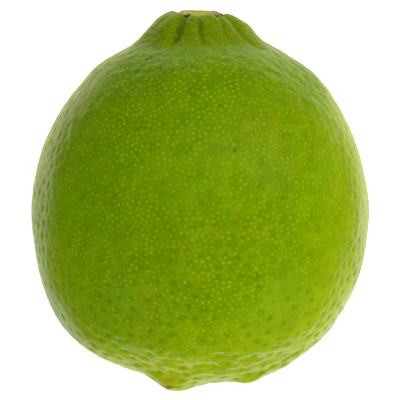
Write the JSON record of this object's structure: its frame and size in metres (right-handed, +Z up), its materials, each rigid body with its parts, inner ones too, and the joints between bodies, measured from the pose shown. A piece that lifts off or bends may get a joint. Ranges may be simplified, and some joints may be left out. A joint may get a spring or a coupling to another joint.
{
  "type": "lime",
  "caption": "Whole fresh Persian lime lying on its side, with a ribbed neck, dimpled rind, off-centre nipple and a dry calyx button at the stem end.",
  "frame": {"origin": "on the surface the lime lies on, under the middle of its outline", "axes": "+Y towards the stem end along the fruit's axis, +Z up, +X to the right seen from above with the stem away from the viewer"},
  "size_m": [0.055, 0.0612, 0.0543],
  "materials": {
    "rind": "waxy satin, pitted by oil glands",
    "calyx_button": "dry, matte"
  },
  "bodies": {
    "root": {"fruit": "rind", "calyx": "calyx_button"}
  },
  "joints": []
}
